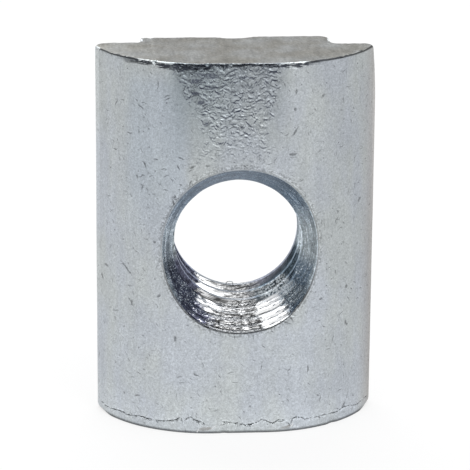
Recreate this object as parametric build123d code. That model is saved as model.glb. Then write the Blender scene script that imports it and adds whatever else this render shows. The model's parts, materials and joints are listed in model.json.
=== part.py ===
from build123d import *
from math import ceil, radians, sqrt, tan
import os

# A slot nut cut from one drawn steel bar, standing on one of its sheared ends.
# X runs across the wings, Y from the round belly to the neck face, and Z along the bar.
# Everything is in millimetres, and the origin is under the middle of the bar.

# Bar section
nut_length = 20.0
nut_width = 14.7
belly_depth = 4.9           # from the belly's crown to the shoulders
belly_flat = 2.8            # width of the flat along the crown
tip_radius = 0.6            # round where the belly turns into a shoulder
neck_width = 9.9
neck_height = 1.0           # above the shoulders
neck_corner_radius = 0.3
neck_root_radius = 0.2
groove_width = 2.6          # shallow rolled groove along the neck face
groove_depth = 0.36

# The blade that cut the bar off rolled the right wing down at the upper end
roll_length = 3.0
roll_drop = 0.73
rolled_tip_radius = 0.45
rolled_corner_radius = 0.65
rolled_root_radius = 0.45

# Tapped hole, right-handed coarse thread of 8 mm
thread_minor_diameter = 6.647
thread_pitch = 1.25
thread_crest = 0.61         # width of a crest, twice a real one's, so that the wall has metal
thread_depth = 0.5          # from the crests to the roots
thread_angle = 60.0         # between the flanks
thread_start = 0.37         # depth at which a crest passes the hole's upper side
entry_diameter = 8.8        # of the countersink at the belly's crown
entry_angle = 60.0          # full angle
exit_diameter = 8.0         # of the countersink at the neck face
exit_angle = 90.0           # full angle

end_break = 0.2             # rounding of the belly's edge at both ends

nut_height = belly_depth + neck_height
crown_y = -nut_height / 2
neck_y = nut_height / 2
hole_z = nut_length / 2

# The belly is an arc that is tangent to the flat and to the round of the tip
flat_half = belly_flat / 2
tip_centre_x = nut_width / 2 - tip_radius
tip_centre_rise = belly_depth - tip_radius
belly_radius = ((tip_centre_x - flat_half) ** 2 + tip_centre_rise**2 - tip_radius**2) / (
    2 * (tip_centre_rise - tip_radius)
)


def half_outline(side, shoulder_drop, tip_round, corner_round, root_round):
    """Edges of one half of the section, from the belly's flat to the groove."""
    shoulder_y = crown_y + belly_depth - shoulder_drop
    neck_half = neck_width / 2
    belly_centre = Vector(flat_half, crown_y + belly_radius)
    tip_y = shoulder_y - tip_round
    tip_rise = belly_centre.Y - tip_y
    tip_x = flat_half + sqrt((belly_radius - tip_round) ** 2 - tip_rise**2)
    tip_centre = Vector(tip_x, tip_y)
    outward = (tip_centre - belly_centre).normalized()
    tip_start = belly_centre + outward * belly_radius
    belly_start = Vector(flat_half, crown_y)
    shoulder_end = Vector(neck_half + root_round, shoulder_y)
    wall_start = Vector(neck_half, shoulder_y + root_round)
    wall_end = Vector(neck_half, neck_y - corner_round)
    face_start = Vector(neck_half - corner_round, neck_y)
    groove_edge = Vector(groove_width / 2, neck_y)
    shoulder_start = Vector(tip_x, shoulder_y)

    def place(point):
        return (side * point.X, point.Y)

    def arc(start, centre, end):
        radius = (start - centre).length
        middle = centre + ((start - centre) + (end - centre)).normalized() * radius
        return ThreePointArc(place(start), place(middle), place(end))

    root_centre = Vector(neck_half + root_round, shoulder_y + root_round)
    corner_centre = Vector(neck_half - corner_round, neck_y - corner_round)
    return [
        arc(belly_start, belly_centre, tip_start),
        arc(tip_start, tip_centre, shoulder_start),
        Line(place(shoulder_start), place(shoulder_end)),
        arc(shoulder_end, root_centre, wall_start),
        Line(place(wall_start), place(wall_end)),
        arc(wall_end, corner_centre, face_start),
        Line(place(face_start), place(groove_edge)),
    ]


def section(height, rolled):
    """Face of the bar's section at a height, with its right wing rolled down or not."""
    plain = (0.0, tip_radius, neck_corner_radius, neck_root_radius)
    right_shape = (roll_drop, rolled_tip_radius, rolled_corner_radius, rolled_root_radius)
    right = half_outline(1, *(right_shape if rolled else plain))
    left = half_outline(-1, *plain)
    flat = Line((-flat_half, crown_y), (flat_half, crown_y))
    groove = ThreePointArc(
        (groove_width / 2, neck_y),
        (0, neck_y - groove_depth),
        (-groove_width / 2, neck_y),
    )
    outline = Wire([flat, *right, groove, *left])
    return Pos(0, 0, height) * Face(outline)


def bar():
    """The cut length of bar, with its rolled upper end."""
    straight_length = nut_length - roll_length
    straight = extrude(section(0, rolled=False), amount=straight_length)
    ends = [section(straight_length, rolled=False), section(nut_length, rolled=True)]
    return straight + loft(ends, ruled=True)


def countersink(diameter, full_angle, face_y, inward):
    """Cone that opens to the given diameter at face_y and is carried on past it."""
    slope = tan(radians(full_angle / 2))
    beyond = 1.0
    depth = diameter / 2 / slope
    cone = Cone(0, diameter / 2 + beyond * slope, depth + beyond)
    mouth = Pos(0, 0, (depth + beyond) / 2 - depth) * cone
    turn = Rot(90, 0, 0) if inward > 0 else Rot(-90, 0, 0)
    return Pos(0, face_y, hole_z) * turn * mouth


def tapped_hole():
    """Tool shape of the hole: a bore at the thread's minor diameter and two countersinks."""
    bore = Pos(0, 0, hole_z) * Rot(90, 0, 0) * Cylinder(thread_minor_diameter / 2, 2 * nut_height)
    entry = countersink(entry_diameter, entry_angle, crown_y, inward=1)
    exit_cone = countersink(exit_diameter, exit_angle, neck_y, inward=-1)
    return bore + entry + exit_cone


def groove_half_turn():
    """Half a turn of the groove between the thread's crests, about +Z, from +X onwards."""
    crest = thread_minor_diameter / 2
    root = crest + thread_depth
    within = 0.1                # how far it starts inside the bore
    slope = tan(radians(thread_angle / 2))
    mouth_half = (thread_pitch - thread_crest) / 2
    root_half = mouth_half - thread_depth * slope
    inner_half = mouth_half + within * slope
    corners = [
        (crest - within, 0, -inner_half),
        (root, 0, -root_half),
        (root, 0, root_half),
        (crest - within, 0, inner_half),
    ]
    profile = Face(Wire(Polyline(*corners, close=True).edges()))
    path = Helix(pitch=thread_pitch, height=thread_pitch / 2, radius=crest)
    return sweep(profile, path=path, is_frenet=True)


def cut_thread(shape):
    """Cuts the thread's groove, half a turn at a time, from mouth to mouth."""
    half_turn = groove_half_turn()
    # the helix starts on the +X side, a quarter turn on from the hole's upper side,
    # and a groove lies half a pitch beyond its crest
    first = crown_y + thread_start + thread_pitch * (1 / 4 + 1 / 2 - 2)
    count = ceil((nut_height + 2 * thread_pitch) / (thread_pitch / 2))
    for i in range(count):
        place = Pos(0, first + i * thread_pitch / 2, hole_z)
        shape = shape - place * Rot(-90, 0, 0) * Rot(0, 0, 180 * i) * half_turn
    return shape


def belly_end_edges(shape):
    """Edges of the belly at the two ends."""
    ends = shape.edges().filter_by(lambda edge: abs(edge.center().Z - hole_z) > hole_z - 0.001)
    return ends.filter_by(lambda edge: edge.center().Y < crown_y + belly_depth / 2)


nut = bar()
nut = fillet(belly_end_edges(nut), end_break)
nut = cut_thread(nut - tapped_hole())
nut.label = "slot_nut"

os.makedirs("parts", exist_ok=True)
export_step(nut, "parts/slot_nut.step")

entry_depth = (entry_diameter - thread_minor_diameter) / 2 / tan(radians(entry_angle / 2))
exit_depth = (exit_diameter - thread_minor_diameter) / 2 / tan(radians(exit_angle / 2))
print(f"belly radius {belly_radius:.3f}")
thread_length = nut_height - entry_depth - exit_depth
print(f"thread {thread_length:.3f} long, from y {crown_y + entry_depth:.3f}")
print(f"volume {nut.volume:.2f}")
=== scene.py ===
import bpy
import json
from math import atan2, cos, pi, radians, sin, sqrt, tan
from mathutils import Matrix, Vector


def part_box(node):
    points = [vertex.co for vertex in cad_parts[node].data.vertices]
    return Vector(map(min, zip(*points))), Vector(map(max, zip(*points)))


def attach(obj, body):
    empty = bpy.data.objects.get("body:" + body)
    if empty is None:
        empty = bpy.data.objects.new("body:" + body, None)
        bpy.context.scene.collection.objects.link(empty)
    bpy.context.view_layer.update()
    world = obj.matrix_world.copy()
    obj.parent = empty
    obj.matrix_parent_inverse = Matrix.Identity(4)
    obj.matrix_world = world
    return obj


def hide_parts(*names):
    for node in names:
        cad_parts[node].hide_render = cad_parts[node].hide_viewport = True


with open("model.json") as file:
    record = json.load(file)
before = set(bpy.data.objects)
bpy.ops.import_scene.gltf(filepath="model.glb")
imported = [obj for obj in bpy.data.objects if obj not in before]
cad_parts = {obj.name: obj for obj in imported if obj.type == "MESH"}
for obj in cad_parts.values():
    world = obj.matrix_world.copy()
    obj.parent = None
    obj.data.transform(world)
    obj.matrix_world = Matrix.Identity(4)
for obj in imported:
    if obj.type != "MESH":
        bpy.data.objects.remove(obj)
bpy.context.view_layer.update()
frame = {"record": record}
mm = 0.001
toMm = 1000.0
print("frame loaded")


# Node helpers

def operator(operation, swapped=False):
    # Wire method that adds a Math node
    def act(first, second):
        return first.graph.math(operation, *((second, first) if swapped else (first, second)))
    return act


class Wire:
    # One output socket. Arithmetic on it adds Math nodes to its tree.
    def __init__(self, graph, socket):
        self.graph = graph
        self.socket = socket

    __add__ = __radd__ = operator("ADD")
    __mul__ = __rmul__ = operator("MULTIPLY")
    __sub__ = operator("SUBTRACT")
    __rsub__ = operator("SUBTRACT", swapped=True)
    __truediv__ = operator("DIVIDE")
    __rtruediv__ = operator("DIVIDE", swapped=True)
    __pow__ = operator("POWER")

    def __neg__(self):
        return self * -1.0

    def __abs__(self):
        return self.graph.math("ABSOLUTE", self)

    def also(self, output):
        return Wire(self.graph, pickSocket(self.socket.node.outputs, output))


def pickSocket(sockets, key):
    if isinstance(key, int):
        return sockets[key]
    return next(s for s in sockets if s.name == key and s.enabled)


def mathOfTwo(operation):
    # Same for Graph
    def act(graph, first, second):
        return graph.math(operation, first, second)
    return act


class Graph:
    # A node tree that grows by one method, add, with short names for common nodes
    def __init__(self, tree):
        self.tree = tree
        tree.nodes.clear()

    def add(self, kind, settings=None, values=None, output=0):
        node = self.tree.nodes.new(kind)
        for name, value in (settings or {}).items():
            if name == "points":
                self.setPoints(node.mapping, value)
            else:
                setattr(node, name, value)
        for key, value in (values or {}).items():
            socket = pickSocket(node.inputs, key)
            for item in value if isinstance(value, list) else [value]:
                if isinstance(item, Wire):
                    self.tree.links.new(item.socket, socket)
                else:
                    socket.default_value = item
        return Wire(self, pickSocket(node.outputs, output)) if node.outputs else node

    def setPoints(self, mapping, points):
        curve = mapping.curves[0]
        while len(curve.points) < len(points):
            curve.points.new(1.0, 1.0)
        for point, place in zip(curve.points, points):
            point.location = place
            point.handle_type = "VECTOR"
        mapping.update()

    def math(self, operation, *operands):
        return self.add("ShaderNodeMath", {"operation": operation}, dict(enumerate(operands)))

    low, high = mathOfTwo("MINIMUM"), mathOfTwo("MAXIMUM")
    over, under = mathOfTwo("GREATER_THAN"), mathOfTwo("LESS_THAN")

    def plus(self, first, second):
        return self.add("ShaderNodeVectorMath", {"operation": "ADD"}, {0: first, 1: second})

    def dot(self, first, second):
        return self.add("ShaderNodeVectorMath", {"operation": "DOT_PRODUCT"}, {0: first, 1: second}, 1)

    def scaled(self, vector, factor):
        return self.add("ShaderNodeVectorMath", {"operation": "SCALE"}, {0: vector, "Scale": factor})

    def split(self, vector):
        x = self.add("ShaderNodeSeparateXYZ", None, {0: vector})
        return x, x.also(1), x.also(2)

    def join(self, x, y, z):
        return self.add("ShaderNodeCombineXYZ", None, {0: x, 1: y, 2: z})

    def ramp(self, value, low, high, start=0.0, end=1.0, shape="LINEAR"):
        values = {"Value": value, "From Min": low, "From Max": high, "To Min": start, "To Max": end}
        return self.add("ShaderNodeMapRange", {"interpolation_type": shape}, values)

    def ease(self, value, low, high, start=0.0, end=1.0):
        return self.ramp(value, low, high, start, end, "SMOOTHSTEP")

    def fall(self, value, low, high):
        return self.ramp(value, low, high, 1.0, 0.0)

    def vary(self, noise, least, most):
        return self.ramp(noise, 0.3, 0.7, least, most)

    def band(self, value, centre, halfWidth, fade):
        # One within halfWidth of centre, and none a fade further out.
        return self.ease(abs(value - centre), halfWidth, halfWidth + fade, 1.0, 0.0)

    def blend(self, first, second, factor):
        return self.add("ShaderNodeMix", {"data_type": "RGBA"}, {0: factor, 6: first, 7: second}, 2)

    def noise(self, vector, scale, detail=2.0, roughness=0.6, distortion=0.0):
        values = {"Vector": vector, "Scale": scale, "Detail": detail, "Roughness": roughness,
                  "Distortion": distortion}
        return self.add("ShaderNodeTexNoise", None, values)

    def noiseAt(self, x, y, z, scale=1.0, detail=2.0, roughness=0.6, distortion=0.0):
        return self.noise(self.join(x, y, z), scale, detail, roughness, distortion)


def linked(name, data):
    made = bpy.data.objects.new(name, data)
    bpy.context.scene.collection.objects.link(made)
    return made


# Outline of the bar's section

record = frame["record"]
mounts = {mount["name"]: mount for mount in record["mounts"]}
lowest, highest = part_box("slot_nut")

barSizes = {
    "length": highest.z - lowest.z,
    "halfWidth": highest.x,
    "crown": lowest.y,
    "neckFace": highest.y,
    "shoulder": mounts["left_shoulder"]["pos_m"][1],
    "neckHalf": mounts["neck_right_side"]["pos_m"][0],
    "flatHalf": 1.4 * mm,
    "tipRound": 0.6 * mm,
    "cornerRound": 0.3 * mm,
    "rootRound": 0.2 * mm,
    "grooveHalf": 1.3 * mm,
    "grooveDepth": 0.36 * mm,
    "rollDrop": 0.73 * mm,
    "rolledTipRound": 0.45 * mm,
    "rolledCornerRound": 0.65 * mm,
    "rolledRootRound": 0.45 * mm,
}


def bellyRadiusOf(sizes):
    reach = sizes["halfWidth"] - sizes["tipRound"] - sizes["flatHalf"]
    rise = sizes["shoulder"] - sizes["tipRound"] - sizes["crown"]
    return (reach**2 + rise**2 - sizes["tipRound"] ** 2) / (2 * (rise - sizes["tipRound"]))


def arcPoints(centre, radius, start, end, count, crowding=1.0):
    # Crowding above one brings the first points together. The last point is left to the next stretch.
    steps = [start + (end - start) * (i / count) ** crowding for i in range(count)]
    return [(centre[0] + radius * cos(a), centre[1] + radius * sin(a)) for a in steps]


def linePoints(start, end, count):
    return [tuple(a + (b - a) * i / count for a, b in zip(start, end)) for i in range(count)]


def halfOutline(sizes, drop, tipRound, cornerRound, rootRound):
    # Right half, from the edge of the belly's flat to the middle of the groove.
    shoulder = sizes["shoulder"] - drop
    neckHalf, neckFace = sizes["neckHalf"], sizes["neckFace"]
    bellyRadius = bellyRadiusOf(sizes)
    bellyCentre = (sizes["flatHalf"], sizes["crown"] + bellyRadius)
    tipY = shoulder - tipRound
    tipX = bellyCentre[0] + sqrt((bellyRadius - tipRound) ** 2 - (bellyCentre[1] - tipY) ** 2)
    tipAngle = atan2(tipY - bellyCentre[1], tipX - bellyCentre[0])
    rootCentre = (neckHalf + rootRound, shoulder + rootRound)
    cornerCentre = (neckHalf - cornerRound, neckFace - cornerRound)
    grooveHalf, grooveDepth = sizes["grooveHalf"], sizes["grooveDepth"]
    points = arcPoints(bellyCentre, bellyRadius, -pi / 2, tipAngle, 74, crowding=1.2)
    points += arcPoints((tipX, tipY), tipRound, tipAngle, pi / 2, 11)
    points += linePoints((tipX, shoulder), (rootCentre[0], shoulder), 8)
    points += arcPoints(rootCentre, rootRound, 3 * pi / 2, pi, 6)
    points += linePoints((neckHalf, rootCentre[1]), (neckHalf, cornerCentre[1]), 5)
    points += arcPoints(cornerCentre, cornerRound, 0, pi / 2, 7)
    points += linePoints((cornerCentre[0], neckFace), (grooveHalf, neckFace), 16)
    for i in range(11):  # the groove is a smooth hollow with no edge of its own
        x = grooveHalf * (1 - i / 11)
        points.append((x, neckFace - grooveDepth * (0.5 + 0.5 * cos(pi * x / grooveHalf))))
    points.append((0.0, neckFace - grooveDepth))
    return points


def sectionOutline(sizes, rolled):
    plain = (0.0, sizes["tipRound"], sizes["cornerRound"], sizes["rootRound"])
    pressed = (sizes["rollDrop"], sizes["rolledTipRound"], sizes["rolledCornerRound"],
               sizes["rolledRootRound"])
    right = halfOutline(sizes, *(pressed if rolled else plain))
    left = [(-x, y) for x, y in reversed(halfOutline(sizes, *plain))]
    flat = linePoints(left[-1], right[0], 36)
    return right + left[1:-1] + flat


def outwardNormals(points):
    normals = []
    for i in range(len(points)):
        before, after = points[i - 1], points[(i + 1) % len(points)]
        along = Vector((after[0] - before[0], after[1] - before[1])).normalized()
        normals.append((along.y, -along.x))
    return normals


def outlineMesh(sizes):
    plain = sectionOutline(sizes, rolled=False)
    rolled = sectionOutline(sizes, rolled=True)
    mesh = bpy.data.meshes.new("barSection")
    count = len(plain)
    edges = [(i, (i + 1) % count) for i in range(count)]
    mesh.from_pydata([(x, y, 0.0) for x, y in plain], edges, [])
    outward = mesh.attributes.new("outward", "FLOAT_VECTOR", "POINT")
    shift = mesh.attributes.new("rollShift", "FLOAT_VECTOR", "POINT")
    for i, (x, y) in enumerate(outwardNormals(plain)):
        outward.data[i].vector = (x, y, 0.0)
        shift.data[i].vector = (rolled[i][0] - plain[i][0], rolled[i][1] - plain[i][1], 0.0)
    return mesh


# Marks that shape the metal in the piece's tree and colour it in the materials.
# All of them take places in millimetres.

barTop = round(barSizes["length"] * toMm, 3)

crinkleSizes = {
    "across": 2.8,  # how closely the creases follow each other along X
    "upward": 5.9,  # and along Z
    "drift": 0.9,  # how far their rows wander up and down
    "crease": 0.14,  # breadth of a crease, as a share of the pattern's swing
    "heights": (12.9, 18.0),  # at which the patch sets in and is at its full strength
    "litReach": 0.05,  # how far up and down a crease's lit and shaded sides are looked for
    "layer": 3.7,  # which slice of the noise is used
}


def crinkleRelief(g, x, z):
    # None along a crease and one away from it
    sizes = crinkleSizes
    drift = g.noiseAt(x, z, sizes["layer"], 1.2, 2.0, 0.5) - 0.5
    height = (z + drift * sizes["drift"]) * sizes["upward"]
    swirl = abs(g.noiseAt(x * sizes["across"], height, sizes["layer"], 1.0, 2.0, 0.55, 0.4) - 0.5)
    return g.ease(swirl, 0.0, sizes["crease"])


def crinkles(g, x, z):
    # Skin that the blade crumpled below the upper end: its relief, where it lies, and the creases'
    # shaded upper and lit lower sides
    sizes = crinkleSizes
    stray = x + (g.noiseAt(x * 1.6, z * 1.6, 5.0) - 0.5) * 1.4
    left = g.ramp(z, 16.2, 19.4, -1.9, -3.4) - g.fall(z, 15.0, 16.0)
    right = g.ramp(z, 16.5, 19.0, 1.45, 2.05)
    sides = g.ease(stray - left, -0.2, 0.3) * g.ease(right - stray, -0.2, 0.3)
    area = sides * g.ease(z, *sizes["heights"])
    broken = g.ramp(g.noiseAt(x * 2.4, z * 3.4, 8.0, 1.0, 1.0, 0.5), 0.4, 0.53, 0.25, 1.0)
    relief = crinkleRelief(g, x, z)
    above, below = (crinkleRelief(g, x, z + reach) for reach in (sizes["litReach"], -sizes["litReach"]))
    rise = (above - below) * broken * area
    return relief, area, g.ramp(rise, 0.08, 0.55), g.ramp(rise, -0.15, -0.75)


crushSizes = {
    "thickness": 0.13,
    "ragged": 0.34,  # how unevenly its lower side runs
    "fade": 0.07,
    "thicker": ((-3.6, 0.4, 0.17), (-2.3, 0.5, 0.14), (2.2, 1.0, 0.05)),  # middle, half width and extra
    "leftEnd": (-6.4, -5.2),
    "rightEnd": (3.3, 4.3),
}


def crushedBand(g, x, z):
    # Ragged dark band where the blade crushed the skin just under the upper end
    sizes = crushSizes
    ragged = g.noiseAt(x, 7.0, 1.0, 2.6, 3.0, 0.65) - 0.5
    thick = sizes["thickness"] + ragged * sizes["ragged"]
    for middle, half, extra in sizes["thicker"]:
        thick += g.band(x, middle, half, 0.4) * extra
    span = g.ramp(x, *sizes["leftEnd"]) * g.fall(x, *sizes["rightEnd"])
    streaked = g.noiseAt(x * 3.0, z * 12.0, 2.0, 1.0, 3.0, 0.65)
    fade = sizes["fade"]
    band = g.ease(z - (barTop - fade) + thick + (streaked - 0.5) * 0.25, -fade, fade)
    return band * g.ramp(streaked, 0.38, 0.47, 0.35, 1.0) * span, span


# Places where the upper edge is broken off slantwise: middle, half width and fade along X, and size
edgeChips = ((-4.15, 0.62, 0.12, 0.075), (-4.44, 0.03, 0.05, 0.09), (-5.13, 0.05, 0.05, 0.11),
             (-1.81, 0.05, 0.06, 0.1), (-0.6, 0.07, 0.06, 0.11), (0.87, 0.05, 0.06, 0.09),
             (2.45, 0.65, 0.15, 0.07), (-2.9, 0.05, 0.05, 0.03))


def chipSize(g, x):
    broken = g.ramp(g.noiseAt(x, 6.0, 4.0, 3.2, 3.0, 0.7), 0.4, 0.62, 0.5, 1.3)
    size = 0.012
    for middle, half, soft, extra in edgeChips:
        size += g.band(x, middle, half, soft) * extra
    return size * broken


# The wavy line where the lower end's edge was folded over the belly, as points along X and Z
foldPoints = (
    (-7.4, 0.62), (-7.13, 0.56), (-6.96, 0.44), (-6.5, 0.49), (-6.12, 0.54), (-5.65, 0.46), (-5.23, 0.61),
    (-4.84, 0.53), (-4.33, 0.51), (-3.73, 0.6), (-3.3, 0.71), (-3.12, 0.88), (-2.98, 0.58), (-2.83, 0.77),
    (-2.57, 0.93), (-2.35, 0.74), (-2.0, 0.63), (-1.57, 0.43), (-1.17, 0.46), (-1.0, 0.62), (-0.74, 0.64),
    (-0.17, 0.56), (0.32, 0.43), (0.8, 0.54), (1.15, 0.75), (1.55, 0.59), (1.72, 0.49), (2.03, 0.69),
    (2.39, 0.64), (2.62, 0.38), (2.85, 0.75), (3.29, 0.69), (3.52, 0.56), (4.12, 0.6), (4.78, 0.61),
    (5.26, 0.56), (5.7, 0.72), (6.47, 0.49), (7.4, 0.55))

foldSizes = {
    "reach": 7.5,  # of the line's points to each side
    "wiggle": 0.14,
    "shiver": 0.16,
    "width": (0.014, 0.03),
    "secondLine": 0.085,  # how far below it the fainter second line runs
}


def foldHeight(g, x):
    reach = foldSizes["reach"]
    points = [((px + reach) / (2 * reach), pz) for px, pz in foldPoints]
    line = g.add("ShaderNodeFloatCurve", {"points": points}, {"Value": (x + reach) / (2 * reach)})
    wiggle = g.noiseAt(x, 5.0, 1.0, 5.6, 4.0, 0.75) - 0.5
    shiver = g.noiseAt(x, 9.0, 1.0, 10.0) - 0.5
    return line + wiggle * foldSizes["wiggle"] + shiver * foldSizes["shiver"]


def foldLine(g, x, z):
    away = z - foldHeight(g, x)
    dashes = g.noiseAt(x, 2.0, 8.0, 4.2)
    bold = g.band(x, -3.3, 1.4, 0.3) + g.band(x, 1.3, 1.8, 0.5)
    width = g.ramp(dashes, 0.36, 0.62, *foldSizes["width"]) * (1.0 + bold * 0.4)
    gap = g.band(x, -1.35, 0.35, 0.2)
    dots = g.noiseAt(x, z * 0.6, 3.0, 12.0)
    crease = g.fall(abs(away) / width, 0.45, 1.1) * g.ramp(dots, 0.45, 0.52)
    under = g.fall(abs(away + foldSizes["secondLine"]) / (width * 0.6), 0.4, 1.1)
    under *= g.ramp(dashes, 0.54, 0.6)
    crease = g.high(crease, under * g.ramp(bold, 0.0, 1.0, 0.2, 0.6))
    return crease * (1.0 - gap), away


# Dark dents in the belly, and painted shadows of the burrs at the hole: x, z, half length and half width
# in millimetres, and angle in degrees
dentsAndBurrShadows = (
    (2.63, 15.16, 0.25, 0.08, 8), (-5.83, 8.63, 0.4, 0.045, -50), (5.65, 0.8, 0.18, 0.06, 56),
    (-2.56, 14.55, 0.15, 0.055, 11), (-5.1, 17.52, 0.18, 0.06, -34), (2.74, 16.36, 0.3, 0.05, 55),
    (-4.93, 14.48, 0.2, 0.04, -62), (2.75, 18.46, 0.14, 0.07, 84), (-3.9, 13.25, 0.13, 0.05, 2),
    (5.72, 5.44, 0.21, 0.06, -69), (-5.3, 13.76, 0.1, 0.055, -52), (-5.05, 13.22, 0.12, 0.055, 69),
    (-4.22, 7.49, 0.14, 0.06, 33), (-3.38, 5.23, 0.14, 0.07, 75), (4.18, 18.1, 0.16, 0.06, 46),
    (-2.28, 3.27, 0.16, 0.05, -20), (-5.6, 6.83, 0.13, 0.06, -70), (3.59, 3.42, 0.19, 0.04, 90),
    (-4.35, 14.82, 0.11, 0.05, -6), (2.72, 17.55, 0.1, 0.07, -40), (-4.43, 10.37, 0.08, 0.06, 0),
    (4.26, 7.14, 0.12, 0.06, 24), (5.69, 7.48, 0.12, 0.06, -77), (-3.23, 14.51, 0.17, 0.035, -67),
    # (-1.76, 5.98), (2.38, 6.08) and (2.69, 6.25) are painted shadows of the burrs at the hole
    (6.36, 12.01, 0.12, 0.06, 75), (-1.73, 14.63, 0.18, 0.05, 4), (-1.76, 5.98, 0.24, 0.09, -27),
    (2.38, 6.08, 0.36, 0.035, -23), (2.69, 6.25, 0.19, 0.03, -54), (-7.04, 7.67, 0.16, 0.05, -84),
    (-6.84, 8.4, 0.09, 0.08, -73), (-3.1, 15.0, 0.2, 0.03, -20), (-3.12, 13.58, 0.07, 0.06, 0),
    (-3.45, 12.94, 0.14, 0.07, 20), (-3.47, 12.59, 0.12, 0.06, 80), (-3.36, 12.77, 0.08, 0.05, -30),
)

# Patches of painted shade among the crinkles, and chips along the lower end's edge, in the same way
shadePatchPlaces = ((-2.0, 17.97, 0.45, 0.12, 0), (-1.84, 16.9, 0.18, 0.2, 0), (-1.84, 19.38, 0.7, 0.15, -6),
          (-3.1, 19.05, 0.2, 0.08, -25), (-2.3, 19.08, 0.5, 0.13, 0), (-1.6, 18.75, 0.35, 0.1, 15),
          (0.3, 19.25, 0.4, 0.08, 10), (-2.35, 18.4, 0.3, 0.1, -15))
chips = ((-1.8, 0.27, 0.42, 0.1, 8), (2.5, 0.27, 0.34, 0.1, 8))
flakes = ((2.78, 0.34, 0.16, 0.035, 62), (-1.35, 0.36, 0.2, 0.03, 40), (-2.2, 0.16, 0.1, 0.03, 60))


def dented(g, x, z, places):
    # Ovals with a ragged outline: one in the middle of each and none outside
    raggedness = 0.22
    bentX = g.noiseAt(x, z, 2.0, 5.0) - 0.5
    bentZ = g.noiseAt(x, z, 6.0, 5.0) - 0.5
    spot = g.join(x + bentX * raggedness, z + bentZ * raggedness, 1.0)
    deepest = 0.0
    for dentX, dentZ, halfLength, halfWidth, turn in places:
        c, s = cos(radians(turn)), sin(radians(turn))
        along = (c / halfLength, s / halfLength, -(dentX * c + dentZ * s) / halfLength)
        across = (-s / halfWidth, c / halfWidth, (dentX * s - dentZ * c) / halfWidth)
        far = g.join(g.dot(spot, along), g.dot(spot, across), 0.0)
        deepest = g.high(deepest, g.fall(g.dot(far, far), 0.35, 1.3))
    return deepest


# The nut as a Geometry Nodes tree

nutSizes = {
    "Length": barSizes["length"],
    "Crown": barSizes["crown"],
    "Neck Face": barSizes["neckFace"],
    "Flat Half": barSizes["flatHalf"],
    "Belly Radius": bellyRadiusOf(barSizes),
    "Roll Length": 3.0 * mm,
    "End Hub": -1.2 * mm,  # where the rows over both end faces draw together, along Y
    "Edge Round": 0.09 * mm,
    "Tip Round": 0.32 * mm,
    "Skin Depth": 0.03 * mm,  # how far the worn skin lies inside the bar's nominal section
    "Crinkle Depth": 0.055 * mm,
    "Fold Depth": 0.04 * mm,
    "Crush Depth": 0.05 * mm,
    "Hole Height": mounts["thread"]["pos_m"][2],
    "Minor Radius": mounts["thread"]["dims"]["r_mm"] * mm,
    "Pitch": 1.25 * mm,
    "Thread Depth": 0.66 * mm,
    "Thread Start": 0.37 * mm,  # depth at which a crest passes the hole's upper side
    "Entry Radius": 4.4 * mm,
    "Entry Angle": radians(30),
    "Exit Radius": 4.0 * mm,
    "Exit Angle": radians(45),
    "Terrace Rise": 0.5,  # share of the countersink's slope that its treads lose
    "Chatter Depth": 0.03 * mm,
    "Lip Radius": 0.06 * mm,
    "Seed": 4.0,
}
# Nicks in the lower end's edge: place along X and Z, size and depth in millimetres
edgeNicks = ((-0.85, 0.16, 0.3, 0.1), (-0.45, 0.22, 0.2, 0.06), (3.0, 0.34, 0.28, 0.07),
             (5.0, 0.12, 0.35, 0.09))
# Rows of the swept bar: how many, and the height and the reach from its middle that they end at
rowPlan = ((5, 0.0, 0.8), (4, 0.0, 1.0), (9, 0.25, 1.0), (22, 1.05, 1.0), (12, 5.0, 1.0), (36, 13.0, 1.0),
           (104, 19.5, 1.0), (20, 20.0, 1.0), (4, 20.0, 0.8), (5, 20.0, 0.1))
terraceEdges = (0.0, 0.3, 0.65, 1.1, 1.36, 1.58, 1.88)  # depths of the steps in the countersink
holeSteps = {
    "around": 220,
    "perPitch": 25,
    "firstTurn": -1.8,  # of the thread's crests, counted from the belly
    "turns": 6.72,
    "beyond": 0.5 * mm,  # how far the cutting tool reaches past both faces
    "weld": 0.0001 * mm,
}
meshSteps = {"lipAround": 420, "lipSides": 8, "burrSteps": 8, "burrSides": 6, "sharpAngle": radians(28)}


def railCurves():
    total = sum(plan[0] for plan in rowPlan)
    heights, reaches, done = [(0.0, 0.0)], [(0.0, 0.1)], 0
    for count, height, reach in rowPlan:
        done += count
        heights.append((done / total, height * mm / barSizes["length"]))
        reaches.append((done / total, reach))
    return total + 1, heights, reaches


def moved(g, geometry, place):
    return g.add("GeometryNodeSetPosition", None, {"Geometry": geometry, "Position": place})


def stored(g, geometry, name, value, domain):
    settings = {"data_type": "FLOAT", "domain": domain}
    values = {"Geometry": geometry, "Name": name, "Value": value}
    return g.add("GeometryNodeStoreNamedAttribute", settings, values)


def swept(g, curve, profile, scale=1.0, caps=True):
    values = {"Curve": curve, "Profile Curve": profile, "Scale": scale, "Fill Caps": caps}
    return g.add("GeometryNodeCurveToMesh", None, values)


def attribute(g, name, kind="FLOAT"):
    return g.add("GeometryNodeInputNamedAttribute", {"data_type": kind}, {"Name": name}, "Attribute")


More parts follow.
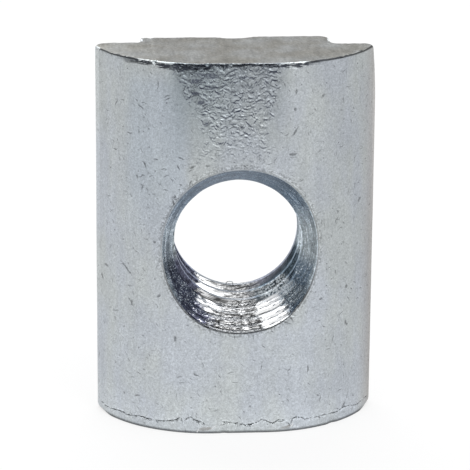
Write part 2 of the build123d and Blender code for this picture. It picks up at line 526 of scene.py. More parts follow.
def barNodes(g, given):
    # Sweeps the section up the bar and over both end faces, with rows crowded near the ends
    section = g.add("GeometryNodeMeshToCurve", None, {"Mesh": given["Geometry"]})
    rail = g.add("GeometryNodeCurvePrimitiveLine", None, {"End": g.join(0.0, 0.0, given["Length"])})
    rows, heights, reaches = railCurves()
    rail = g.add("GeometryNodeResampleCurve", None, {"Curve": rail, "Count": rows})
    share = g.add("GeometryNodeSplineParameter")
    for name, points in (("height", heights), ("reach", reaches)):
        value = g.add("ShaderNodeFloatCurve", {"points": points}, {"Value": share})
        rail = stored(g, rail, name, value, "POINT")
    bar = swept(g, rail, section)
    share, reach = attribute(g, "height"), attribute(g, "reach")
    outward, rollShift = attribute(g, "outward", "FLOAT_VECTOR"), attribute(g, "rollShift", "FLOAT_VECTOR")
    x, y, _ = g.split(g.add("GeometryNodeInputPosition"))
    height = share * given["Length"]
    fromTop = given["Length"] - height
    rolled = g.ramp(fromTop, given["Roll Length"], 0.0) ** 1.5
    offset = worn(g, given, x * toMm, y * toMm, height * toMm, outward)
    place = g.plus(g.join(x, y, 0.0), g.scaled(rollShift, rolled))
    place = g.plus(place, g.scaled(outward, offset))
    hub = (1.0 - reach) * given["End Hub"]
    place = g.plus(g.scaled(place, reach), g.join(0.0, hub, height))
    return moved(g, bar, place)


def worn(g, given, x, y, z, outward):
    # How far the skin stands out from the nominal section: rounded ends, folds, dents and wear
    length = given["Length"] * toMm
    seed, edge = given["Seed"], given["Edge Round"]
    facing = g.split(outward)[1]
    belly = g.fall(facing, -0.45, -0.2)
    tips = g.ease(abs(x), 6.6, 7.3)
    lowRound = g.ramp(tips, 0.0, 1.0, edge * 0.5, given["Tip Round"])
    uneven = g.ramp(g.noiseAt(x, 3.0, seed, 2.2, 3.0, 0.7), 0.42, 0.66, 0.75, 2.0)
    highRound = g.ramp(tips, 0.0, 1.0, edge * uneven, edge * 2.0)
    chipped = (chipSize(g, x) - (length - z)) * mm
    inset = roundedEnd(g, z * mm, lowRound)
    inset += g.high(roundedEnd(g, (length - z) * mm, highRound), chipped)

    wave = g.noiseAt(x, y + seed, z, 0.22, 2.0, 0.5)
    skin = given["Skin Depth"] * g.vary(wave, 0.7, 1.3)

    relief, area, _, _ = crinkles(g, x, z)
    swell = g.noiseAt(x * 0.9, z * 1.5, seed, 1.5, 2.0, 0.5)
    pressed = area * (1.0 - relief * 0.75) * (1.2 - swell * 0.6)
    pressed = pressed * given["Crinkle Depth"] * belly

    crease, away = foldLine(g, x, z)
    hem = g.ease(away, -0.08, 0.06, -0.4, 0.0) * given["Skin Depth"] * belly
    creased = crease * given["Fold Depth"] * belly

    under, span = crushedBand(g, x, z)
    under *= g.fall(z - length, -0.07, -0.03)
    lip = g.band(z - length, 0.0, 0.06, 0.05)
    crushed = (under * given["Crush Depth"] - lip * span * given["Skin Depth"]) * belly

    nicks = 0.0
    for nickX, nickZ, size, depth in edgeNicks:
        far = ((x - nickX) ** 2.0 + (z - nickZ) ** 2.0) ** 0.5
        nicks = g.ease(far, 0.0, size, depth * mm, 0.0) * belly + nicks
    return -(inset + skin + pressed + hem + creased + crushed + nicks)


def roundedEnd(g, far, radius):
    # Inset of a quarter round at a distance far from the end
    inside = g.high(radius - far, 0.0)
    return radius - (radius * radius - inside * inside) ** 0.5


def bellyAt(g, given, x):
    beyond = g.high(abs(x) - given["Flat Half"], 0.0)
    radius = given["Belly Radius"]
    return given["Crown"] + radius - (radius * radius - beyond * beyond) ** 0.5


def circle(g, sides, radius):
    values = {"Resolution": sides, "Radius": radius}
    return g.add("GeometryNodeCurvePrimitiveCircle", None, values, "Curve")


def rimLipNodes(g, given):
    # Thin raised lip that the countersink threw up round its rim
    lip = given["Lip Radius"]
    ring = circle(g, meshSteps["lipAround"], 4.0 * mm)
    angle = g.add("GeometryNodeSplineParameter") * (2 * pi)
    side, up = g.math("SINE", angle), g.math("COSINE", angle)
    ragged = g.noiseAt(side, up, given["Seed"], 5.0, 3.0)
    rim = given["Entry Radius"]
    for _ in range(3):  # the belly falls away to the sides, where the cone is narrower
        fall = bellyAt(g, given, rim * side) - given["Crown"]
        rim = given["Entry Radius"] - fall * g.math("TANGENT", given["Entry Angle"])
    radius = rim + lip * g.vary(ragged, 0.1, 0.9)
    x = radius * side
    z = given["Hole Height"] + radius * up
    ring = moved(g, ring, g.join(x, bellyAt(g, given, x) + lip * 1.05, z))
    wire = circle(g, meshSteps["lipSides"], lip)
    thick = g.vary(ragged, 0.55, 1.0)
    return swept(g, ring, wire, thick, caps=False)


# Burrs that the tools left at the hole: three points of each curl in millimetres, and its thickness
burrCurls = (
    ((-1.46, -2.9, 6.1), (-1.72, -2.93, 6.1), (-1.9, -2.9, 5.92), 0.03),
    ((-1.62, -2.9, 6.06), (-1.66, -2.93, 5.92), (-1.8, -2.9, 5.8), 0.024),
    ((2.06, -2.88, 6.18), (2.26, -2.9, 5.98), (2.62, -2.83, 5.9), 0.026),
    ((2.46, -2.84, 6.38), (2.66, -2.88, 6.28), (2.8, -2.8, 5.98), 0.024),
    ((2.62, -2.8, 6.44), (2.8, -2.81, 6.34), (3.0, -2.72, 6.4), 0.024),
    ((-0.36, 1.76, 6.62), (-0.5, 1.78, 6.83), (-0.24, 1.8, 6.84), 0.034),
    ((-0.24, 1.8, 6.84), (0.04, 1.82, 6.83), (-0.12, 1.78, 6.62), 0.034),
)


def burrNodes(g):
    curls = []
    for *places, thickness in burrCurls:
        start, middle, end = [tuple(c * mm for c in place) for place in places]
        values = {"Resolution": meshSteps["burrSteps"], "Start": start, "Middle": middle, "End": end}
        curl = g.add("GeometryNodeCurveQuadraticBezier", None, values)
        wire = circle(g, meshSteps["burrSides"], thickness * mm)
        share = g.add("GeometryNodeSplineParameter")
        curls.append(swept(g, curl, wire, 1.0 - share * 0.6))
    return curls


def terraceHeight(g, depth):
    # Sawtooth over the depth in millimetres: each tread climbs off the cone and drops back to it
    drop, beyond = 0.04, 0.12
    span = terraceEdges[-1] + beyond
    points = [(0.0, 0.0)]
    for start, end in zip(terraceEdges, terraceEdges[1:]):
        points += [((end - drop) / span, end - start), (end / span, 0.0)]
    points.append((1.0, 0.0))
    return g.add("ShaderNodeFloatCurve", {"points": points}, {"Value": depth / span})


def holeNodes(g, given):
    # A tool shaped like the tapped hole: its rows follow the thread's helix, so the crests stay crisp
    around, perPitch, beyond = holeSteps["around"], holeSteps["perPitch"], holeSteps["beyond"]
    pitch, crown = given["Pitch"], given["Crown"]
    rows = round(holeSteps["turns"] * perPitch)
    values = {"Size X": 1.0, "Size Y": 1.0, "Vertices X": around + 1, "Vertices Y": rows + 1}
    grid = g.add("GeometryNodeMeshGrid", None, values)
    u, v, _ = g.split(g.add("GeometryNodeInputPosition"))
    turn = u + 0.5
    angle = turn * (2 * pi) + 0.5 * g.math("SINE", turn * (2 * pi))  # closer together at the bottom
    turn = angle / (2 * pi)
    along = (v + 0.5) * (rows / perPitch) + holeSteps["firstTurn"]  # whole at the crests
    y = (along + turn) * pitch + crown + given["Thread Start"]
    side, up = g.math("SINE", angle), g.math("COSINE", angle)
    bottom = g.math("ARCTAN2", side, -up)  # angle from the bottom, positive to the right
    phase = g.math("FRACT", along + 8.0)
    rootHalf, crestHalf = 1 / 16, 1 / 8  # of a pitch, as in a standard thread
    groove = g.fall(abs(phase - 0.5), rootHalf, 0.5 - crestHalf)
    depth = y - crown
    groove *= g.ramp(depth * toMm, 1.45, 2.1, 0.1, 1.0)  # worn away in the countersink
    thread = given["Minor Radius"] + groove * given["Thread Depth"]
    stepped = g.band(bottom, 0.0, 0.62, 0.1) * given["Terrace Rise"]
    terrace = terraceHeight(g, depth * toMm) * mm
    slope = g.math("TANGENT", given["Entry Angle"])
    entry = given["Entry Radius"] - depth * slope + terrace * stepped * slope
    leave = given["Exit Radius"] - (given["Neck Face"] - y) * g.math("TANGENT", given["Exit Angle"])
    radius = g.high(thread, g.high(entry, leave))
    chatter = g.noiseAt(bottom * 12.0, y * (11.0 * toMm), 0.0, 1.0, 1.0) - 0.5
    radius += chatter * g.band(bottom, -0.04, 0.24, 0.1) * given["Chatter Depth"]
    low, high = crown - beyond * 0.99, given["Neck Face"] + beyond * 0.99
    inside = g.over(y, low) * g.under(y, high)
    radius *= inside
    y = g.low(g.high(y, low), high)
    tool = moved(g, grid, g.join(radius * side, y, given["Hole Height"] + radius * up))
    values = {"Geometry": tool, "Distance": holeSteps["weld"]}
    tool = g.add("GeometryNodeMergeByDistance", None, values)
    return stored(g, tool, "bored", 1.0, "FACE")


def nutTree(finishes):
    tree = bpy.data.node_groups.new("slotNut", "GeometryNodeTree")
    tree.interface.new_socket("Geometry", in_out="INPUT", socket_type="NodeSocketGeometry")
    for name in nutSizes:
        tree.interface.new_socket(name, in_out="INPUT", socket_type="NodeSocketFloat")
    tree.interface.new_socket("Geometry", in_out="OUTPUT", socket_type="NodeSocketGeometry")
    g = Graph(tree)
    source = g.add("NodeGroupInput")
    given = {s.name: Wire(g, s) for s in source.socket.node.outputs if s.name}

    def plated(made):
        return g.add("GeometryNodeSetMaterial", None, {"Geometry": made, "Material": finishes["skin"]})

    def solids(operation, values):
        return g.add("GeometryNodeMeshBoolean", {"operation": operation, "solver": "MANIFOLD"}, values)

    bar, lip, tool = [plated(made(g, given)) for made in (barNodes, rimLipNodes, holeNodes)]
    burrs = [plated(curl) for curl in burrNodes(g)]
    raised = solids("UNION", {1: [bar, lip]})
    cut = solids("DIFFERENCE", {"Mesh 1": raised, "Mesh 2": [tool]})
    cut = solids("UNION", {1: [cut] + burrs})
    sharp = g.over(g.add("GeometryNodeInputMeshEdgeAngle"), meshSteps["sharpAngle"])
    cut = g.add("GeometryNodeSetShadeSmooth", {"domain": "FACE"}, {"Geometry": cut, "Shade Smooth": True})
    cut = g.add("GeometryNodeSetShadeSmooth", {"domain": "EDGE"},
                {"Geometry": cut, "Selection": sharp, "Shade Smooth": False})
    whole = g.add("GeometryNodeRealizeInstances", None, {"Geometry": cut})
    height = g.split(g.add("GeometryNodeInputPosition"))[2]
    level = abs(g.split(g.add("GeometryNodeInputNormal"))[2])
    nearEnd = g.over(abs(height - given["Hole Height"]), given["Length"] * 0.5 - 0.02 * mm)
    ends = g.over(level, 0.97) * nearEnd
    for finish, selection in (("bore", g.over(attribute(g, "bored"), 0.5)), ("end", ends)):
        values = {"Geometry": whole, "Selection": selection, "Material": finishes[finish]}
        whole = g.add("GeometryNodeSetMaterial", None, values)
    g.add("NodeGroupOutput", None, {"Geometry": whole})
    return tree


def makeNut(finishes):
    piece = linked("nut_body", outlineMesh(barSizes))
    modifier = piece.modifiers.new("slotNut", "NODES")
    modifier.node_group = nutTree(finishes)
    for item in modifier.node_group.interface.items_tree:
        if item.in_out == "INPUT" and item.name in nutSizes:
            modifier[item.identifier] = nutSizes[item.name]
    evaluated = piece.evaluated_get(bpy.context.evaluated_depsgraph_get())
    mesh = bpy.data.meshes.new_from_object(evaluated)
    piece.modifiers.clear()
    piece.data = mesh
    for name in ("height", "reach", "outward", "rollShift", "bored"):
        if name in mesh.attributes:
            mesh.attributes.remove(mesh.attributes[name])
    return piece


# Materials

def newMaterial(name):
    material = bpy.data.materials.new(name)
    material.use_nodes = True
    return material, Graph(material.node_tree)


def show(g, shader):
    g.add("ShaderNodeOutputMaterial", None, {"Surface": shader})


def placeInMm(g):
    place = g.scaled(g.add("ShaderNodeTexCoord", None, None, "Object"), toMm)
    return (place, *g.split(place))


def finished(g, colour, roughness, height, edgeTint=(1, 1, 1, 1), metal=1.0):
    # Height is in millimetres. The edge tint is what a glancing mirror image is dimmed to.
    bump = g.add("ShaderNodeBump", None, {"Strength": 1.0, "Distance": mm, "Height": height})
    values = {"Base Color": colour, "Metallic": metal, "Roughness": roughness, "Normal": bump,
              "Specular Tint": edgeTint}
    show(g, g.add("ShaderNodeBsdfPrincipled", None, values))


def flecks(g, along, across, halfLength, halfWidth, share, seed):
    # Scattered short marks of uneven strength. Their cells are eight marks long and eight wide.
    spacing = 8.0
    column = along / (halfLength * spacing) + seed * 7.3
    row = across / (halfWidth * spacing) + seed * 3.1
    settings = {"voronoi_dimensions": "2D", "feature": "F1"}
    values = {"Vector": g.join(column, row, 0.0), "Scale": 1.0}
    found = g.add("ShaderNodeTexVoronoi", settings, values)
    chance, strength, _ = g.split(found.also("Color"))
    chosen = g.under(chance, share) * g.ramp(strength, 0.0, 1.0, 0.35, 1.0)
    return g.fall(found * spacing, 0.5, 1.3) * chosen


skinLooks = {
    "warm": (0.555, 0.59, 0.6, 1),
    "cool": (0.535, 0.572, 0.618, 1),
    "bluish": (0.53, 0.59, 0.655, 1),  # down the upper left
    "leftEdge": (0.5, 0.525, 0.5, 1),
    "rightEdge": (0.46, 0.435, 0.415, 1),
    # painted dark reflection: tint of the patch among the crinkles
    "burnished": (0.49, 0.56, 0.605, 1),  # among the crinkles
    # painted shade on the crinkles' upper sides and in patches among them
    "creased": (0.075, 0.085, 0.115, 1),
    "crushed": (0.022, 0.026, 0.038, 1),
    "chipped": (0.33, 0.32, 0.305, 1),
    "flake": (0.85, 0.86, 0.87, 1),
    "roughness": (0.33, 0.42),
    "grain": 0.15,  # how much the tone varies over a grain
    "fineGrain": 0.16,
    "markDarkness": 0.55,
    "girthRadius": 7.2,  # of the circle that the patterns are wrapped round
    "bellyEnd": 1.9,  # Y up to which they are wrapped
    "frontEnd": 0.8,  # Y up to which the marks lie
}
# Directions and sizes of the scattered marks: turn, seed and half length
markRuns = ((0.3, 2.0, 0.16), (-1.1, 5.0, 0.12), (1.45, 9.0, 0.2), (-0.5, 12.0, 0.1))


def zincSkin():
    material, g = newMaterial("zincSkin")
    looks = skinLooks
    place, x, y, z = placeInMm(g)
    crown, holeHeight = nutSizes["Crown"] * toMm, nutSizes["Hole Height"] * toMm
    rolled = g.ramp(z, barTop - nutSizes["Roll Length"] * toMm, barTop, 0.0, 0.74)
    rolled *= g.over(x, 0.0)
    onBelly = g.under(y, looks["bellyEnd"] - rolled)
    girthRadius = looks["girthRadius"]
    girth = g.math("ARCTAN2", x, (girthRadius + crown) - y) * girthRadius * onBelly + x * (1.0 - onBelly)
    front = g.under(y, looks["frontEnd"])

    # drawn metal, darker and lighter from place to place
    clouds = g.noise(place, 0.55, 5.0)
    grain = g.noise(place, 8.0, 3.0, 0.65)
    fine = g.noise(place, 15.0)
    drawn = g.noiseAt(girth * 2.4, z * 0.22, 0.0, 1.0, 4.0)
    tone = g.vary(clouds, 0.94, 1.06) * g.vary(drawn, 0.96, 1.04)
    # painted light and shade: the front is darker towards the top as a painted dark reflection, and the
    # belly is darker towards both sides as painted shade
    tone *= 1.0 - (1.0 - g.ramp(z, 4.0, 15.0, 0.965, 0.83)) * front
    tone *= g.ramp(x, -7.2, -6.6, 0.92, 1.0) * g.ramp(x, 3.0, 5.2, 1.0, 0.9)
    tone *= g.ramp(x, 5.6, 6.8, 1.0, 0.93)
    tone *= 1.0 - g.ramp(abs(x + 0.6), 4.2, 6.0) * g.ramp(z, 9.0, 15.0, 0.04, 0.0)
    tone *= 1.0 - g.fall(x, -5.4, -4.2) * g.ramp(z, 5.5, 9.0, 0.04, 0.0)
    tone *= g.ramp(z, 0.7, 2.2, 1.12, 1.0)
    tone *= g.vary(grain, 1.0 - looks["grain"], 1.0 + looks["grain"])
    tone *= g.vary(fine, 1.0 - looks["fineGrain"], 1.0 + looks["fineGrain"])

    # crinkles with painted shade on their upper sides and painted highlights on their lower sides, and a
    # painted dark reflection on the patch that they lie on
    relief, area, creaseShade, creaseGlint = crinkles(g, x, z)
    # painted highlights on the crinkles' lower sides
    tone *= 1.0 + creaseGlint * front * 0.36
    patch = g.ease(x, -4.3, -2.8) * g.ramp(x, -2.2, 2.7, 1.0, 0.62)
    patch *= g.fall(x, 1.9, 2.6)
    paintedDarkReflection = patch * g.ramp(z, 14.4, 19.8) * front
    # painted dark reflection darkening the patch
    tone *= 1.0 - paintedDarkReflection * 0.45

    # upper edge, with painted shade outside a span and a painted highlight where it is chipped inside it,
    # and painted contact shade along the lower edge
    crushed, _ = crushedBand(g, x, z)
    chipped = z + chipSize(g, x) - barTop
    crushed *= g.fall(chipped, -0.03, 0.01)
    edge = g.ramp(z, barTop - 0.12, barTop - 0.07) * front
    edgeHighlightSpan = g.ramp(x, -5.4, -5.0) * g.fall(x, 3.2, 3.5)
    # painted shade on the upper edge outside the highlight span, and a painted highlight where it is
    # chipped inside it
    tone *= 1.0 - edge * (1.0 - edgeHighlightSpan) * 0.8
    tone *= 1.0 + g.ramp(chipped, -0.02, 0.01, 0.0, 0.4) * edgeHighlightSpan
    # painted contact shade along the lower edge
    tone *= g.ramp(z, 0.09, 0.19, 0.3, 1.0)

    # painted shade and highlights in thin rings round the countersink
    slope, entry = tan(nutSizes["Entry Angle"]), nutSizes["Entry Radius"] * toMm
    rim = (x * x + (z - holeHeight) ** 2.0) ** 0.5 + (y - crown) * slope - entry  # how far out from it
    lowerRimShade = g.ramp(z, 9.5, 7.5, 0.3, 1.0) * g.ramp(grain, 0.36, 0.5, 0.6, 1.0)
    tone *= 1.0 - g.band(rim, 0.035, 0.06, 0.03) * lowerRimShade * 0.8 * front
    frayed = g.ramp(g.noise(place, 9.0), 0.38, 0.62, -0.36, 0.18)
    tone *= 1.0 + g.band(rim, 0.18, 0.08, 0.08) * frayed * front
    ragged = g.ramp(grain, 0.56, 0.46) * g.ramp(x, 0.0, 2.0)
    tone *= 1.0 + g.band(rim, 0.11, 0.02, 0.03) * ragged * 0.35 * front

    # fold line along the lower end, with painted shade in its crease and painted glints beside it
    crease, away = foldLine(g, x, z)
    tone *= 1.0 - crease * front * 0.74
    foldGlints = g.ramp(g.noiseAt(x, z, 4.0, 9.0), 0.52, 0.6) * g.band(abs(away), 0.09, 0.03, 0.03)
    tone *= 1.0 + foldGlints * 0.28 * front

    hue = g.noiseAt(girth * 0.9, y, z * 0.45, 0.5, 3.0, 0.5)
    colour = g.blend(looks["warm"], looks["cool"], g.ramp(hue, 0.4, 0.6))
    wash = g.band(x, -4.3, 1.0, 0.8) * g.ramp(z, 10.0, 14.0) * g.fall(z, 18.6, 19.6) * front
    colour = g.blend(colour, looks["bluish"], wash * 0.65)
    rightEdge = g.ease(girth, 6.6, 9.0) * onBelly
    colour = g.blend(colour, looks["rightEdge"], rightEdge)
    tone *= 1.0 - rightEdge * g.ramp(z, 9.0, 16.0, 0.26, 0.0)
    leftEdge = g.ease(girth, -8.2, -9.6) * onBelly
    colour = g.blend(colour, looks["leftEdge"], leftEdge * 0.8)

    # specks, scratches, hairs and dents, and painted shadows of the burrs at the hole
    marks = flecks(g, girth, z, 0.038, 0.038, 0.06, 1.0)
    for turn, seed, halfLength in markRuns:
        along = girth * cos(turn) + z * sin(turn)
        across = z * cos(turn) - girth * sin(turn)
        bent = across + (g.noise(place, 3.0, 1.0, 0.5) - 0.5) * 0.3
        marks = g.high(marks, flecks(g, along, bent, halfLength, 0.024, 0.07, seed))
    scuffs = g.noise(place, 1.1, 1.0, 0.5)
    hairs = g.fall(abs(g.noise(place, 1.7, 2.0, 0.55, 0.8) - 0.5), 0.0, 0.008)
    hairs *= g.ramp(scuffs, 0.56, 0.62)
    marks = g.high(marks, hairs * 0.5)
    marks = g.high(marks, dented(g, x, z, dentsAndBurrShadows) * g.ramp(fine, 0.38, 0.5, 0.35, 1.0) * front)
    scraped = flecks(g, z, girth + (scuffs - 0.5) * 0.4, 0.15, 0.028, 0.1, 21.0)
    tone *= 1.0 - marks * looks["markDarkness"]
    tone *= 1.0 + scraped * 0.16

    colour = g.blend(colour, looks["burnished"], paintedDarkReflection * g.ramp(x, -1.6, 0.6, 1.0, 0.35))
    colour = g.scaled(colour, tone)
    # clusters where the painted shade on the crinkles is stronger
    shadeClusters = g.ramp(g.noiseAt(x * 0.9, z * 1.3, 6.0), 0.45, 0.6, 0.72, 1.0)
    # patches of painted shade among the crinkles, strongest along the creases
    shadePatches = dented(g, x, z, shadePatchPlaces) * g.ramp(relief, 0.1, 0.7, 0.85, 0.25)
    flawed = dented(g, x, z, chips) * g.ramp(fine, 0.4, 0.6, 0.4, 0.9)
    # painted shade on the crinkles and in patches among them, then the crushed band, chips and flakes
    for name, share in (("creased", g.high(creaseShade * shadeClusters, shadePatches)), ("crushed", crushed * 0.92),
                        ("chipped", flawed), ("flake", dented(g, x, z, flakes) * 0.8)):
        colour = g.blend(colour, looks[name], share * front)

    height = grain * 0.01 + fine * 0.006 + drawn * 0.02 - marks * 0.02
    height += (area * relief * 0.024 - crease * 0.03) * front
    roughness = g.vary(clouds, *looks["roughness"]) + edge * (0.3 - edgeHighlightSpan * 0.42)
    finished(g, colour, roughness, height)
    return material


endLooks = {
    "base": (0.186, 0.183, 0.17, 1),
    "cool": (0.176, 0.181, 0.182, 1),
    "roughness": 0.38,
    "edgeTint": (0.7, 0.7, 0.69, 1),
}


def shearedEnd():
    material, g = newMaterial("shearedEnd")
    place, x, y, z = placeInMm(g)
    clouds = g.noise(place, 0.6, 4.0, 0.55)
    drag = g.noiseAt(x * 2.2, y * 0.5, z, 1.5, 4.0)
    grain = g.noise(place, 7.0, 3.0)
    tone = g.vary(clouds, 0.72, 1.28) * g.vary(grain, 0.7, 1.3)
    tone *= g.vary(drag, 0.76, 1.24) * g.ramp(x, -6.8, -3.6, 1.4, 1.0)
    colour = g.blend(endLooks["base"], endLooks["cool"], g.ramp(clouds, 0.4, 0.6))
    colour = g.scaled(colour, tone)
    finished(g, colour, endLooks["roughness"], grain * 0.016 + drag * 0.03, endLooks["edgeTint"])
    return material


boreLooks = {
    # The hole's colours are bluish steel with painted reflections over it: dark where the walls mirror
    # dark surroundings, pale and light where they mirror the lamps
    "slate": (0.25, 0.33, 0.42, 1),  # right side of the countersink
    "navy": (0.112, 0.118, 0.17, 1),  # lower left of the countersink
    "teal": (0.092, 0.128, 0.158, 1),  # right side of the thread
    "violet": (0.34, 0.34, 0.4, 1),  # its last turns
    "pale": (0.62, 0.7, 0.74, 1),  # both flanks of the hole
    "light": (0.88, 0.89, 0.9, 1),  # painted reflection of the lamps on the hole's floor
    "spark": (0.8, 0.86, 0.9, 1),
    "edgeTint": (0.64, 0.7, 0.78, 1),
    "roughness": 0.2,
    "coneEnd": 1.85,  # depth at which the countersink ends and the thread begins
}


def tappedBore():
    material, g = newMaterial("tappedBore")
    looks = boreLooks
    place, x, y, z = placeInMm(g)
    inMm = {name: nutSizes[name] * toMm for name in ("Crown", "Hole Height", "Thread Start", "Pitch")}
    bottom = g.math("ARCTAN2", x, inMm["Hole Height"] - z)
    degrees = bottom * (180.0 / pi)  # from the hole's bottom, positive to the right
    away = abs(degrees)
    depth = y - inMm["Crown"]
    inside = y - bellyAt(g, nutSizes, x * mm) * toMm  # how far in from the rim
    along = (depth - inMm["Thread Start"]) / inMm["Pitch"] - 0.5 + bottom / (2 * pi)
    phase = abs(g.math("FRACT", along + 8.5) - 0.5)  # none at a crest
    coned = g.fall(depth, looks["coneEnd"] - 0.05, looks["coneEnd"] + 0.05)

    # where the floor shows a painted reflection of the lamps, and where it chattered
    wander = g.noiseAt(bottom * 2.0, depth * 2.5, 0.0) - 0.5
    frayed = g.noiseAt(bottom * 11.0, depth * 9.0, 4.0) - 0.5
    sector = degrees + wander * 14.0 + frayed * 22.0
    leftLimit = -36.0 + g.ramp(depth, 1.25, 0.75, 0.0, 14.0)
    rightLimit = g.ramp(coned, 0.0, 1.0, 16.0, 36.0)
    soft = g.ramp(coned, 0.0, 1.0, 8.0, 2.5)
    burnished = g.ramp(sector - leftLimit, -2.5, 2.5)
    burnished *= g.fall((sector - rightLimit) / soft, -1.0, 1.0)
    chatterLeft = g.ramp(coned, 0.0, 1.0, -9.0, -25.0)
    chatterLeft += g.ramp(depth, 1.0, 1.3, 0.0, 10.0) * coned
    chatterRight = g.ramp(coned, 0.0, 1.0, 30.0, 15.0)
    chattered = g.ramp(sector - chatterLeft, -3.0, 3.0)
    chattered *= g.fall(sector - chatterRight, -2.0, 2.0)

    # patterns
    streaks = g.noiseAt(bottom * 20.0, depth * 24.0, 0.0, 1.0, 3.0, 0.7)
    speckle = g.noise(place, 13.0)
    mottle = g.noise(place, 3.5, 3.0)
    spatter = g.noise(place, 11.0, 1.0, 0.5)
    rubbed = g.noiseAt(bottom * 16.0, depth * 3.0, 6.0)
    turned = g.noiseAt(bottom * 0.7, depth * 6.4, 0.0, 1.0, 3.0, 0.65)
    lines = g.fall(abs(turned - 0.5), 0.008, 0.04)

    # colours of the walls: painted dark reflections on the sides, pale painted reflections on the flanks
    # and mouth, and painted sparkles
    right = g.ramp(degrees, -20.0, 20.0)
    side = g.ramp(away, 70.0, 82.0) * g.fall(away, 102.0, 128.0)
    colour = g.blend(looks["navy"], g.blend(looks["teal"], looks["slate"], coned), right)
    colour = g.blend(colour, looks["slate"], g.ramp(away, 105.0, 135.0))
    mouth = g.ramp(inside, 0.45, 0.15) * g.ramp(away, 45.0, 62.0) * g.fall(away, 110.0, 150.0)
    colour = g.blend(colour, looks["pale"], g.high(side, mouth * 0.8))
    spattered = g.band(degrees + depth * 4.5 + wander * 10.0, 46.0, 11.0, 6.0)
    spattered *= g.band(depth, 1.9, 1.3, 0.3)
    paintedSparkles = g.ramp(speckle, 0.55, 0.64) * g.ramp(mottle, 0.4, 0.55) * coned
    paintedSparkles = g.high(paintedSparkles, g.ramp(spatter, 0.44, 0.5) * spattered)
    colour = g.blend(colour, looks["spark"], paintedSparkles * 0.9)
    calm = g.ramp(depth, 3.7, 4.3, 0.0, 0.7) * right
    colour = g.blend(colour, looks["violet"], g.ramp(depth, 4.3, 4.5, 0.0, 0.9) * right)

    # painted light and shade: light and dark rings along the rim, a darker upper wall, and light crests
    # and dark roots on the thread; and the walls' tone
    wavy = inside + wander * 0.05
    leftRings = g.band(inside, 0.36, 0.06, 0.07) * 0.34 - g.band(wavy, 0.74, 0.16, 0.12) * 0.32
    leftRings -= g.band(inside, 0.1, 0.06, 0.08) * 0.15
    rightRings = g.band(inside, 0.06, 0.05, 0.04) * 0.55 - g.band(inside, 0.22, 0.04, 0.05) * 0.2
    rightRings -= g.band(wavy, 0.5, 0.14, 0.1) * 0.1
    rings = leftRings * (1.0 - right) + rightRings * right
    tone = g.vary(mottle, 0.62, 1.38) * g.vary(speckle, 0.6, 1.4)
    tone *= g.ramp(away - right * 7.0, 105.0, 138.0, 1.0, 0.35)
    tone *= (1.0 + rings * g.ramp(away, 55.0, 70.0)) * (1.0 - spattered * 0.15)
    threadLightAndShade = g.ramp(phase, 0.04, 0.14, 2.2, 0.5) + right * g.ramp(phase, 0.04, 0.14, -0.7, 0.35)
    threadLightAndShade *= g.ramp(rubbed, 0.35, 0.65, 0.5, 1.6)
    tone *= g.ramp(coned, 0.0, 1.0, threadLightAndShade, 1.0)
    tone = g.high(tone * (1.0 - calm) + calm * 0.9, paintedSparkles * spattered)
    colour = g.scaled(colour, tone * (1.0 - lines * 0.45))

    # the painted reflection on the floor, broken by chatter, turning lines, a step, the thread's roots and
    # crests, and a seam
    torn = g.ramp(streaks, 0.42, 0.55) * g.ramp(depth, 0.9, 1.2, 0.92, 0.78)
    shine = g.vary(speckle, 0.9, 1.1) * (1.0 - chattered * torn)
    smooth = g.ramp(sector, 13.0, 17.0) * coned * 0.95
    shine *= 1.0 - lines * (1.0 - smooth) * 0.85
    step = g.band(depth + wander * 0.08, 1.03, 0.008, 0.022) * g.band(degrees, 24.0, 9.0, 3.0)
    shine *= 1.0 - step * 0.85
    root = g.ramp(phase, 0.34, 0.41) * (1.0 - coned)
    shine *= 1.0 - root * 0.6
    flat = g.fall(phase, 0.09, 0.15) * (1.0 - coned) * g.ramp(sector, -2.0, -10.0)
    flat = g.high(flat, g.band(depth + frayed * 0.2, 2.1, 0.1, 0.1) * g.ramp(sector, -4.0, -12.0))
    shine *= 1.0 - flat * 0.62
    seam = g.band(degrees + wander * 1.5, 14.2, 0.4, 0.8) * g.fall(depth, 0.85, 0.95)
    shine *= 1.0 - seam * 0.4
    colour = g.blend(colour, g.scaled(looks["light"][:3], shine), burnished)

    sparkle = g.fall(abs(away - 50.0), 14.0, 26.0) * (1.0 - burnished)
    height = turned * 0.02 + speckle * (0.004 + sparkle * 0.02) + streaks * chattered * 0.012
    dull = g.ramp(degrees, 56.0, 72.0) * g.fall(degrees, 104.0, 130.0) * coned
    dull = g.high(dull, spattered * g.ramp(depth, 1.1, 1.6))
    roughness = looks["roughness"] + dull * 0.2
    finished(g, colour, roughness, height, looks["edgeTint"], 1.0 - dull * 0.6)
    return material


nut = makeNut({"skin": zincSkin(), "end": shearedEnd(), "bore": tappedBore()})
print("nut made:", len(nut.data.polygons), "faces", [m.name for m in nut.data.materials])


# Floor, light and camera

def seenByEye(g, direct=1.0, mirrored=1.0):
    # Share of the plain white that the eye gets, directly and in a mirror
    path = g.add("ShaderNodeLightPath", None, None, "Is Camera Ray")
    bent = g.low(path.also("Is Glossy Ray") + path.also("Is Transmission Ray"), 1.0)
    return g.low(path * direct + bent * mirrored, 1.0)


def flatMesh(name, w, h):
    mesh = bpy.data.meshes.new(name)
    mesh.from_pydata([(-w, -h, 0), (w, -h, 0), (w, h, 0), (-w, h, 0)], [], [(0, 1, 2, 3)])
    return mesh


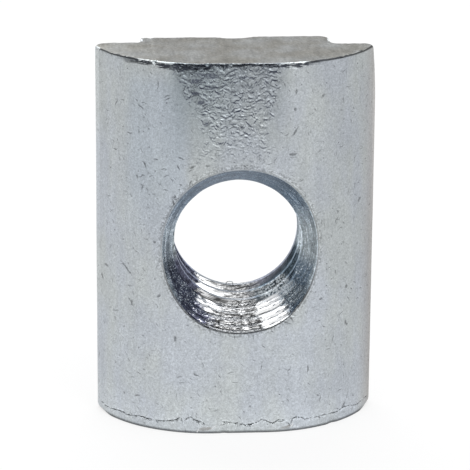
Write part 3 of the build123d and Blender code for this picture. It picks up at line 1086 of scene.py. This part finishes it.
def makeFloor():
    reach = 0.6
    mesh = flatMesh("paleFloor", reach, reach)
    floor = linked("floor", mesh)
    material, g = newMaterial("paleFloor")
    matte = g.add("ShaderNodeBsdfDiffuse", None, {"Color": (0.9, 0.9, 0.9, 1)})
    glow = g.add("ShaderNodeEmission", None, {"Color": (1, 1, 1, 1), "Strength": 1.0})
    show(g, g.add("ShaderNodeMixShader", None, {0: seenByEye(g, 0.75, 0.5), 1: matte, 2: glow}))
    mesh.materials.append(material)


def makeWorld():
    world = bpy.data.worlds.new("paleStudio")
    world.use_nodes = True
    bpy.context.scene.world = world
    g = Graph(world.node_tree)
    strength = g.ramp(seenByEye(g), 0.0, 1.0, 0.7, 1.0)
    sky = g.add("ShaderNodeBackground", None, {"Color": (1, 1, 1, 1), "Strength": strength})
    g.add("ShaderNodeOutputWorld", None, {"Surface": sky})


cameraSizes = {
    "target": (0.0, 1.776 * mm, 10.0 * mm),
    "distance": 153.4 * mm,
    "azimuth": radians(-4.48),
    "elevation": radians(17.42),
    "roll": 0.0074,
    "lens": 221.4,
    "shift": (0.0016, -0.0216),
}


def directionOf(azimuth, elevation):
    return Vector((sin(azimuth) * cos(elevation), -cos(azimuth) * cos(elevation), sin(elevation)))


def makeCamera(sizes):
    back = directionOf(sizes["azimuth"], sizes["elevation"])
    right = Vector((0, 0, 1)).cross(back).normalized()
    up = back.cross(right)
    tilt = sizes["roll"]
    right, up = right * cos(tilt) + up * sin(tilt), up * cos(tilt) - right * sin(tilt)
    camera = linked("camera", bpy.data.cameras.new("camera"))
    turn = Matrix((right, up, back)).transposed().to_4x4()
    camera.matrix_world = Matrix.Translation(Vector(sizes["target"]) + back * sizes["distance"]) @ turn
    camera.data.lens = sizes["lens"]
    camera.data.sensor_width = 36.0
    camera.data.shift_x, camera.data.shift_y = sizes["shift"]
    camera.data.clip_start = 0.01
    bpy.context.scene.camera = camera


# Azimuth and elevation in degrees seen from the nut, distance and size in metres,
# and for a lamp the level of white that it shows in a mirror
studioSizes = {
    "topLamp": (0, 78, 0.35, (0.2, 0.2), 3.0),
    "backLamp": (188, 42, 0.4, (0.5, 0.26), 1.6),
    "frontLamp": (33, 32, 0.3, (0.17, 0.11), 1.8),
    "frontCard": (-68, 24, 0.26, (0.2, 0.2)),
}


def facingNut(azimuth, elevation, distance):
    # Place of something that looks at the middle of the nut along its own -Z
    back = directionOf(radians(azimuth), radians(elevation))
    middle = Vector((0.0, 0.0, barSizes["length"] / 2))
    turn = back.to_track_quat("Z", "Y").to_matrix().to_4x4()
    return Matrix.Translation(middle + back * distance) @ turn


def makeLamp(name):
    azimuth, elevation, distance, size, level = studioSizes[name]
    lamp = linked(name, bpy.data.lights.new(name, "AREA"))
    lamp.data.shape = "RECTANGLE"
    lamp.data.size, lamp.data.size_y = size
    lamp.data.energy = level * pi * size[0] * size[1]
    lamp.visible_camera = False
    lamp.matrix_world = facingNut(azimuth, elevation, distance)


def makeCard(name):
    # A dark card that shows only in the metal
    azimuth, elevation, distance, size = studioSizes[name]
    mesh = flatMesh(name, size[0] / 2, size[1] / 2)
    mesh.transform(facingNut(azimuth, elevation, distance))
    card = linked(name, mesh)
    material, g = newMaterial("darkCard")
    show(g, g.add("ShaderNodeBsdfDiffuse", None, {"Color": (0.02, 0.02, 0.025, 1)}))
    mesh.materials.append(material)
    card.visible_camera = card.visible_diffuse = card.visible_shadow = card.visible_transmission = False


makeFloor()
makeWorld()
makeCamera(cameraSizes)
for name in ("topLamp", "backLamp", "frontLamp"):
    makeLamp(name)
makeCard("frontCard")
print("stage set")
bpy.context.scene.view_settings.view_transform = "Standard"

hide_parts("slot_nut")
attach(nut, "root")
